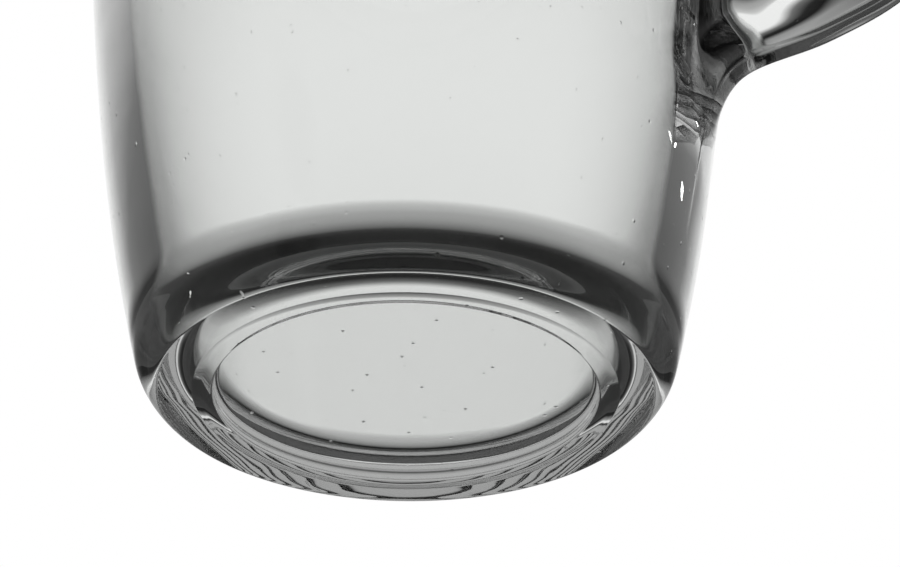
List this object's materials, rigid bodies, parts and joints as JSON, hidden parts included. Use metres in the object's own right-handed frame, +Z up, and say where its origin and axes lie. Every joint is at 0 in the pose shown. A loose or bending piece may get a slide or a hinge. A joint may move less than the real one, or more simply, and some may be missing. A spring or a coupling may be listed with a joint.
{
  "type": "glass coffee mug",
  "caption": "Tall clear pressed-glass mug with a barrel-shaped bowl, thick base, recessed foot and a loop handle with a pointed lower root, for hot coffee drinks.",
  "frame": {"origin": "centre of the foot ring, on the plane that the mug stands on", "axes": "+Z up along the bowl's axis, +X towards the handle"},
  "size_m": [0.1125, 0.08, 0.122],
  "materials": {
    "bowl_glass": "fire-polished clear pressed glass",
    "handle_glass": "fire-polished clear pressed glass"
  },
  "bodies": {
    "root": {"bowl": "bowl_glass", "handle": "handle_glass"}
  },
  "joints": []
}
